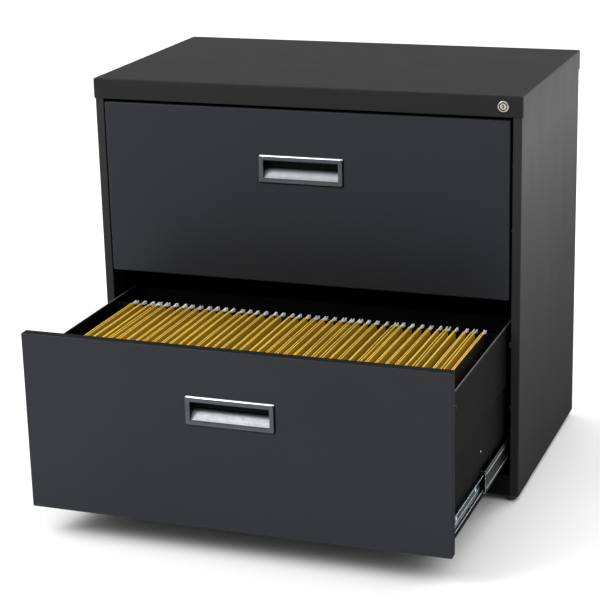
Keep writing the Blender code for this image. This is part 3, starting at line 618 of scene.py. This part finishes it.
# ---- Recessed pulls -----------------------------------------------------------------
# The bezel's section, as (outward from the opening, proud of the front) in mm
BEZEL_FACE = (
    (0.0, -1.2), (0.0, 2.4), (0.35, 3.0), (1.0, 3.25), (5.8, 3.5), (7.2, 3.3), (8.4, 2.5), (9.2, 1.2),
    (9.5, 0.3),
)
BEZEL_BACK = ((9.3, 0.3), (1.7, 0.3), (1.5, -1.2))
# Pull slots: painted highlight, painted shade, and the scoop's painted highlight.
HIGHLIGHT_EDGE, SHADE_EDGE, SCOOP = 1, 2, 3
OPENING_HALF_WIDTH = 67.0 * MM
OPENING_HALF_HEIGHT = 15.5 * MM
CUP_WALL = 1.4 * MM
CUP_OVERLAP = 1.0 * MM  # how far the cup's walls reach forward into the bezel
SCOOP_RISE = 14.5 * MM
SCOOP_STEPS = 8


def add_pull_frame(shape, middle_z, face_y):
    """The bezel: a rounded frame swept round the opening."""
    rings = []
    for outward, proud in BEZEL_FACE + BEZEL_BACK:
        half_width = OPENING_HALF_WIDTH + outward * MM
        half_height = OPENING_HALF_HEIGHT + outward * MM
        loop = rounded_loop(half_width, half_height, (1.6 + 0.25 * outward) * MM)
        rings.append([shape.verts.new((x, face_y - proud * MM, middle_z + z)) for x, z in loop])
    join_rings(shape, rings, close=True)
    shape.normal_update()
    outer_edge = OPENING_HALF_HEIGHT + 7.4 * MM
    outer_side = OPENING_HALF_WIDTH + 6.5 * MM
    # Painted highlight on the bezel's top edge; painted shade on its right and lower edges.
    for face in shape.faces:
        centre = face.calc_center_median()
        if centre.z - middle_z > outer_edge:
            face.material_index = HIGHLIGHT_EDGE
        elif centre.x > outer_side or centre.z - middle_z < -outer_edge:
            face.material_index = SHADE_EDGE


def mark_new_faces(shape, index, outline, start, end):
    """Adds a prism across the width and gives its faces a material."""
    before = set(shape.faces)
    prism(shape, outline, 0, start, end)
    for face in set(shape.faces) - before:
        face.material_index = index


def scoop_outline(front, back_y, bottom):
    """The finger scoop: a curved floor that climbs to the back, with a thin underside."""
    top = []
    for step in range(SCOOP_STEPS + 1):
        share = step / SCOOP_STEPS
        rise = SCOOP_RISE * math.sin(share * math.pi / 2) ** 1.25
        top.append((front + (back_y - front) * share, bottom + rise))
    return top + [(back_y, bottom - CUP_WALL), (front, bottom - CUP_WALL)]


def cheek_outline(front, back_y, middle_z):
    """An end wall of the cup, cut away behind its upper corner."""
    bottom = middle_z - OPENING_HALF_HEIGHT
    top = middle_z + OPENING_HALF_HEIGHT + 1.2 * MM
    return [
        (front, bottom - CUP_WALL),
        (back_y, bottom - CUP_WALL),
        (back_y, middle_z + 6 * MM),
        (front + 8 * MM, top),
        (front, top),
    ]


def lip_outline(front, middle_z):
    """The grip behind the opening's upper edge."""
    top = middle_z + OPENING_HALF_HEIGHT
    return [
        (front, top),
        (front + 6.5 * MM, top),
        (front + 7.5 * MM, top + 0.8 * MM),
        (front + 7.5 * MM, top + CUP_WALL),
        (front, top + CUP_WALL),
    ]


def build_pulls():
    """A recessed pull in each drawer front: bezel, curved scoop with a painted highlight, and end walls and
    grip in painted shade.
    """
    for level in LEVELS:
        low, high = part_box(f"{level}_pull")
        face_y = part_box(f"{level}_drawer_front")[0].y
        front = face_y - CUP_OVERLAP
        middle_z = (low.z + high.z) / 2
        shape = bmesh.new()
        add_pull_frame(shape, middle_z, face_y)
        scoop = scoop_outline(front, high.y - 0.5 * MM, middle_z - OPENING_HALF_HEIGHT)
        scoop_half = OPENING_HALF_WIDTH + 0.2 * MM
        mark_new_faces(shape, SCOOP, scoop, -scoop_half, scoop_half)
        cheek = cheek_outline(front, high.y, middle_z)
        for side in (-1, 1):
            near, far = sorted((side * OPENING_HALF_WIDTH, side * (OPENING_HALF_WIDTH + CUP_WALL)))
            mark_new_faces(shape, SHADE_EDGE, cheek, near, far)
        lip = lip_outline(front, middle_z)
        mark_new_faces(shape, SHADE_EDGE, lip, -OPENING_HALF_WIDTH, OPENING_HALF_WIDTH)
        pull = add_mesh(f"{level}_pull_moulding", shape, pull_grey, f"{level}_drawer", 32)
        for material in (pull_highlight, pull_shade, pull_scoop_highlight):
            pull.data.materials.append(material)
        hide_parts(f"{level}_pull")


# ---- Lock ---------------------------------------------------------------------------
# The barrel's section, as (behind its face, radius) in mm
BARREL_SECTION = (
    (1.1, 5.75), (0.0, 7.0), (0.0, 8.3), (0.25, 8.9), (0.8, 9.4), (1.4, 9.65), (1.9, 9.7), (1.9, 8.0),
    (22.1, 8.0), (22.2, 7.7), (22.2, 5.75),
)
BARREL_SEGMENTS = 64
INNER_CHAMFER = 6.9 * MM
PLUG_RADIUS = 5.5 * MM
PLUG_SEGMENTS = 48
PLUG_BACK = 22.2 * MM
PLUG_FACE = 0.35 * MM
KEYWAY_HALF = 1.0 * MM
KEYWAY_TALL = 3.4 * MM
KEYWAY_DEPTH = 9.0 * MM


def lock_point(x, behind, z):
    """A point given from the lock's axis and its face."""
    return (lock_x + x, lock_low.y + behind, lock_z + z)


def build_lock_barrel():
    """A chamfered nickel ring round the plug, with painted shade in its inner chamfer."""
    shape = bmesh.new()
    outer = (lock_high.x - lock_low.x) / 2
    rings = []
    for behind, radius in BARREL_SECTION:
        reach = min(radius * MM, outer)
        loop = []
        for i in range(BARREL_SEGMENTS):
            angle = 2 * math.pi * i / BARREL_SEGMENTS
            place = lock_point(reach * math.cos(angle), behind * MM, reach * math.sin(angle))
            loop.append(shape.verts.new(place))
        rings.append(loop)
    join_rings(shape, rings, close=True)
    # The inner chamfer takes near-black nickel as painted shade.
    for face in shape.faces:
        centre = face.calc_center_median()
        if math.hypot(centre.x - lock_x, centre.z - lock_z) < INNER_CHAMFER:
            face.material_index = 1
    barrel = add_mesh("lock_barrel", shape, nickel, "cabinet", 40)
    barrel.data.materials.append(shaded_nickel)
    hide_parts("lock_housing")


def build_lock_core():
    """The plug: a chamfered face with a keyway sunk into it, and the wards inside, a near-black block as
    painted shade.
    """
    outer_loop = []
    keyway_loop = []
    for i in range(PLUG_SEGMENTS):
        angle = 2 * math.pi * i / PLUG_SEGMENTS
        c, s = math.cos(angle), math.sin(angle)
        outer_loop.append((PLUG_RADIUS * c, PLUG_RADIUS * s))
        reach = min(KEYWAY_HALF / max(abs(c), 1e-6), KEYWAY_TALL / max(abs(s), 1e-6))
        keyway_loop.append((reach * c, reach * s))
    keyway_rim = [(x * 1.25, z * 1.08) for x, z in keyway_loop]
    face_rim = [(x * 0.93, z * 0.93) for x, z in outer_loop]
    levels = (
        (keyway_loop, KEYWAY_DEPTH), (keyway_loop, PLUG_FACE + 0.2 * MM), (keyway_rim, PLUG_FACE),
        (face_rim, PLUG_FACE), (outer_loop, PLUG_FACE + 0.4 * MM), (outer_loop, PLUG_BACK),
    )
    shape = bmesh.new()
    rings = []
    for loop, behind in levels:
        rings.append([shape.verts.new(lock_point(x, behind, z)) for x, z in loop])
    join_rings(shape, rings)
    core = add_mesh("lock_core", shape, nickel, "lock", 30)
    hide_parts("lock_plug")

    wards = bmesh.new()
    half = KEYWAY_HALF * 0.98
    tall = KEYWAY_TALL * 0.98
    solid_box(wards, lock_point(-half, 2.2 * MM, -tall), lock_point(half, KEYWAY_DEPTH - 0.1 * MM, tall))
    add_mesh("lock_keyway_wards", wards, dark_gap, "lock", 0)


# ---- Fasteners ----------------------------------------------------------------------
SLIDE_SHEET = 1.2 * MM  # sheet of the slides' webs
POST_RIVET = (3.2 * MM, 0.35 * MM)  # radius and height, like the other rivets
BACK_RIVET = (2.2 * MM, 0.5 * MM)
RETURN_RIVET = (2.0 * MM, 0.45 * MM)
RETURN_RIVET_HEIGHTS = (170 * MM, 480 * MM)
SIDE_RIVET = (1.6 * MM, 0.7 * MM)
CORNER_RIVET = (1.9 * MM, 0.35 * MM)
CORNER_RIVET_RISES = (27 * MM, 117 * MM, 212 * MM)  # above the liner's lower edge
SIDE_STEP_RISE = 155 * MM  # above this a drawer's side stands further out
SLIDE_SCREW = (3.4 * MM, 1.6 * MM)
SLIDE_SCREW_SHARES = (0.06, 0.35, 0.68, 0.95)  # along the drawer member


def add_screw(shape, place, axis, size):
    """A pan-head screw with a cross recess, its head against a face; axis points out of it."""
    radius, height = size
    axis = Vector(axis).normalized()
    profile = [
        (0.05 * MM, radius), (height * 0.45, radius), (height * 0.85, radius * 0.75),
        (height, radius * 0.42), (height * 0.35, radius * 0.30), (height * 0.30, radius * 0.02),
    ]
    turned(shape, profile, place, axis, 20)
    across = axis.orthogonal().normalized()
    for arm in (across, axis.cross(across)):
        side = axis.cross(arm)
        ring_low = []
        ring_high = []
        for a, b in ((1, 1), (-1, 1), (-1, -1), (1, -1)):
            flat = Vector(place) + arm * a * radius * 0.52 + side * b * radius * 0.09
            ring_low.append(shape.verts.new(flat + axis * height * 0.5))
            ring_high.append(shape.verts.new(flat + axis * height * 0.93))
        join_rings(shape, [ring_low, ring_high])


def add_rivet(shape, place, axis, size):
    """A low domed rivet head; axis points out of its face."""
    radius, height = size
    profile = [
        (0.02 * MM, radius), (height * 0.5, radius * 0.92), (height * 0.85, radius * 0.6),
        (height, radius * 0.05),
    ]
    turned(shape, profile, place, axis, 16)


def build_case_fasteners():
    """Rivets of the slides on their posts, of the back panel, and of the sides' front returns."""
    bright = bmesh.new()
    painted = bmesh.new()
    for level in LEVELS:
        for name, side in SIDES:
            low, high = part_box(f"{level}_slide_cabinet_{name}")
            web_x = high.x if side > 0 else low.x
            middle_z = (low.z + high.z) / 2
            for post in ("front", "rear"):
                post_low, post_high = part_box(f"slide_post_{post}_{name}")
                place = (web_x - side * (SLIDE_SHEET + 0.05 * MM), (post_low.y + post_high.y) / 2, middle_z)
                add_rivet(bright, place, (-side, 0, 0), POST_RIVET)
    low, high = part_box("back_panel")
    for step in range(7):
        z = low.z + 20 * MM + (high.z - low.z - 75 * MM) * step / 6
        for side in (-1, 1):
            add_rivet(painted, (side * (high.x - 8 * MM), high.y, z), (0, 1, 0), BACK_RIVET)
    for step in range(6):
        x = low.x + 60 * MM + (high.x - low.x - 120 * MM) * step / 5
        add_rivet(painted, (x, high.y, low.z + 14 * MM), (0, 1, 0), BACK_RIVET)
    for name, side in SIDES:
        panel_low, panel_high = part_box(f"side_panel_{name}")
        return_x = panel_low.x if side > 0 else panel_high.x
        for z in RETURN_RIVET_HEIGHTS:
            add_rivet(bright, (return_x, front_y + 8.5 * MM, z), (-side, 0, 0), RETURN_RIVET)
    add_mesh("case_screws", bright, fastener, "cabinet", 35)
    add_mesh("case_rivets", painted, case_paint, "cabinet", 35)


def build_drawer_fasteners():
    """Screws through the slides into the drawers' sides, and rivets on the sides."""
    for level in LEVELS:
        body = f"{level}_drawer"
        screws = bmesh.new()
        rivets = bmesh.new()
        side_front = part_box(f"{level}_body_side_left")[0].y
        liner_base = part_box(f"{level}_front_liner")[0].z
        member_low, member_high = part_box(f"{level}_slide_drawer_left")
        middle_z = (member_low.z + member_high.z) / 2
        member_x = abs(member_high.x)
        wall_x = member_x - 0.3 * MM
        for side in (-1, 1):
            for share in SLIDE_SCREW_SHARES:
                y = member_low.y + (member_high.y - member_low.y) * share
                place = (side * (member_x + SLIDE_SHEET), y, middle_z)
                add_screw(screws, place, (side, 0, 0), SLIDE_SCREW)
            place = (side * wall_x, side_front + 192 * MM, liner_base + 93 * MM)
            add_rivet(rivets, place, (side, 0, 0), SIDE_RIVET)
            for rise in CORNER_RIVET_RISES:
                x = wall_x + (3.5 * MM if rise > SIDE_STEP_RISE else 0)
                place = (side * x, side_front + 9 * MM, liner_base + rise)
                add_rivet(rivets, place, (side, 0, 0), CORNER_RIVET)
        add_mesh(f"{level}_drawer_screws", screws, fastener, body, 35)
        add_mesh(f"{level}_drawer_rivets", rivets, fastener, body, 35)


# ---- Slides -------------------------------------------------------------------------
# Ribs of each member: rises from its middle, width and height
RIBS = {
    "drawer": ((-7.2 * MM, 7.2 * MM), 1.5 * MM, 0.7 * MM),
    "middle": ((-12.5 * MM, 12.5 * MM), 1.8 * MM, 0.35 * MM),
}
RIB_BODIES = {"drawer": "drawer", "middle": "slide_middles"}
RIB_SUNK = 0.05 * MM
BALL_RADII = {"outer": 0.95 * MM, "inner": 2.0 * MM}
BALLS_IN_ROW = 9
BALL_END = 8 * MM  # from a cage's end to its first ball


def rib_outline(web_x, side, centre_z, width, height):
    """A rolled rib's section, standing out of a web."""
    return [
        (web_x - side * RIB_SUNK, centre_z - width / 2),
        (web_x + side * height * 0.7, centre_z - width / 3),
        (web_x + side * height, centre_z),
        (web_x + side * height * 0.7, centre_z + width / 3),
        (web_x - side * RIB_SUNK, centre_z + width / 2),
    ]


def build_slide_ribs():
    """Rolled ribs along the webs of the slides' drawer and middle members."""
    for level in LEVELS:
        for kind, (rises, width, height) in RIBS.items():
            ribs = bmesh.new()
            for name, side in SIDES:
                low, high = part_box(f"{level}_slide_{kind}_{name}")
                if kind == "drawer":
                    web_x = low.x + SLIDE_SHEET if side > 0 else high.x - SLIDE_SHEET
                else:
                    web_x = high.x if side > 0 else low.x
                middle_z = (low.z + high.z) / 2
                for rise in rises:
                    outline = rib_outline(web_x, side, middle_z + rise, width, height)
                    prism(ribs, outline, 1, low.y + 6 * MM, high.y - 6 * MM)
            body = f"{level}_{RIB_BODIES[kind]}"
            add_mesh(f"{level}_slide_{kind}_ribs", ribs, rib_highlight_steel, body, 50)


def build_slide_balls():
    """A row of balls along the top and the bottom of each cage."""
    for level in LEVELS:
        for kind, radius in BALL_RADII.items():
            balls = bmesh.new()
            for name, side in SIDES:
                low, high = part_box(f"{level}_{kind}_cage_{name}")
                middle_x = (low.x + high.x) / 2
                row = high.y - low.y - 2 * BALL_END
                for z in (low.z + 0.4 * MM, high.z - 0.4 * MM):
                    for step in range(BALLS_IN_ROW):
                        y = low.y + BALL_END + row * step / (BALLS_IN_ROW - 1)
                        place = Matrix.Translation((middle_x, y, z))
                        bmesh.ops.create_uvsphere(
                            balls, u_segments=12, v_segments=8, radius=radius, matrix=place
                        )
            body = f"{level}_{kind}_cages"
            add_mesh(f"{level}_{kind}_balls", balls, ball_steel, body, 60, False)


# ---- Stage --------------------------------------------------------------------------
FLOOR_HALF = 60.0
FLOOR_DROP = 0.4 * MM
SKY_STRENGTH = 1.68
HORIZON = 0.66
SKY = ((0.05, 0.60), (0.17, 0.20), (0.24, 0.12), (0.34, 0.13))  # height of a direction, brightness
OVERHEAD = (0.75, 1.0)
CAMERA_LENS = 112.05
CAMERA_PLACE = (1.055, front_y - 2.891, 1.292)
CAMERA_TURN = (72.69, 1.41, 19.76)


def build_floor():
    """A wide, plain white floor just under the feet."""
    shape = bmesh.new()
    bmesh.ops.create_grid(shape, x_segments=2, y_segments=2, size=FLOOR_HALF)
    mesh = bpy.data.meshes.new("floor")
    shape.to_mesh(mesh)
    shape.free()
    nodes = Nodes("floor_white")
    nodes.shader.inputs["Base Color"].default_value = (0.97, 0.97, 0.97, 1)
    nodes.shader.inputs["Roughness"].default_value = 0.9
    nodes.shader.inputs["Specular IOR Level"].default_value = 0.1
    mesh.materials.append(nodes.material)
    floor = bpy.data.objects.new("floor", mesh)
    floor.location.z = -FLOOR_DROP
    bpy.context.scene.collection.objects.link(floor)


def add_area_light(name, place, target, size, power):
    """A soft rectangular light that points at a target."""
    light = bpy.data.lights.new(name, "AREA")
    light.shape = "RECTANGLE"
    light.size, light.size_y = size
    light.energy = power
    lamp = bpy.data.objects.new(name, light)
    lamp.location = place
    direction = Vector(target) - Vector(place)
    lamp.rotation_euler = direction.to_track_quat("-Z", "Y").to_euler()
    bpy.context.scene.collection.objects.link(lamp)


def build_world():
    """A plain studio: bright overhead, dim lower down, and pale again at the horizon."""
    world = bpy.data.worlds.new("studio")
    world.use_nodes = True
    tree = world.node_tree
    background = tree.nodes["Background"]
    direction = tree.nodes.new("ShaderNodeSeparateXYZ")
    ramp = tree.nodes.new("ShaderNodeValToRGB")
    tree.links.new(tree.nodes.new("ShaderNodeTexCoord").outputs["Generated"], direction.inputs[0])
    tree.links.new(direction.outputs[2], ramp.inputs["Fac"])
    tree.links.new(ramp.outputs["Color"], background.inputs["Color"])
    horizon, overhead = ramp.color_ramp.elements
    horizon.position, horizon.color = 0.0, (HORIZON, HORIZON, HORIZON, 1)
    overhead.position, overhead.color = OVERHEAD[0], (OVERHEAD[1], OVERHEAD[1], OVERHEAD[1], 1)
    for height, value in SKY:
        ramp.color_ramp.elements.new(height).color = (value, value, value, 1)
    background.inputs["Strength"].default_value = SKY_STRENGTH
    bpy.context.scene.world = world


def build_lights():
    """A soft key light from the front left, and a small rim light behind on the right."""
    add_area_light("key", (-1.7, -2.0, 2.3), (0, 0, 0.4), (1.4, 1.4), 45)
    add_area_light("rim", (1.5, 1.9, 1.5), (0.38, 0.3, 0.65), (0.6, 0.9), 8)


def build_camera():
    """A long lens in front, above and to the right."""
    camera = bpy.data.cameras.new("camera")
    camera.lens = CAMERA_LENS
    camera.sensor_width = 36.0
    viewer = bpy.data.objects.new("camera", camera)
    viewer.location = CAMERA_PLACE
    viewer.rotation_euler = [math.radians(angle) for angle in CAMERA_TURN]
    bpy.context.scene.collection.objects.link(viewer)
    bpy.context.scene.camera = viewer


bpy.context.scene.view_settings.view_transform = "Standard"
dress_cad_nodes()
build_folders()
build_pulls()
build_lock_barrel()
build_lock_core()
build_case_fasteners()
build_drawer_fasteners()
build_slide_ribs()
build_slide_balls()
build_floor()
build_world()
build_lights()
build_camera()
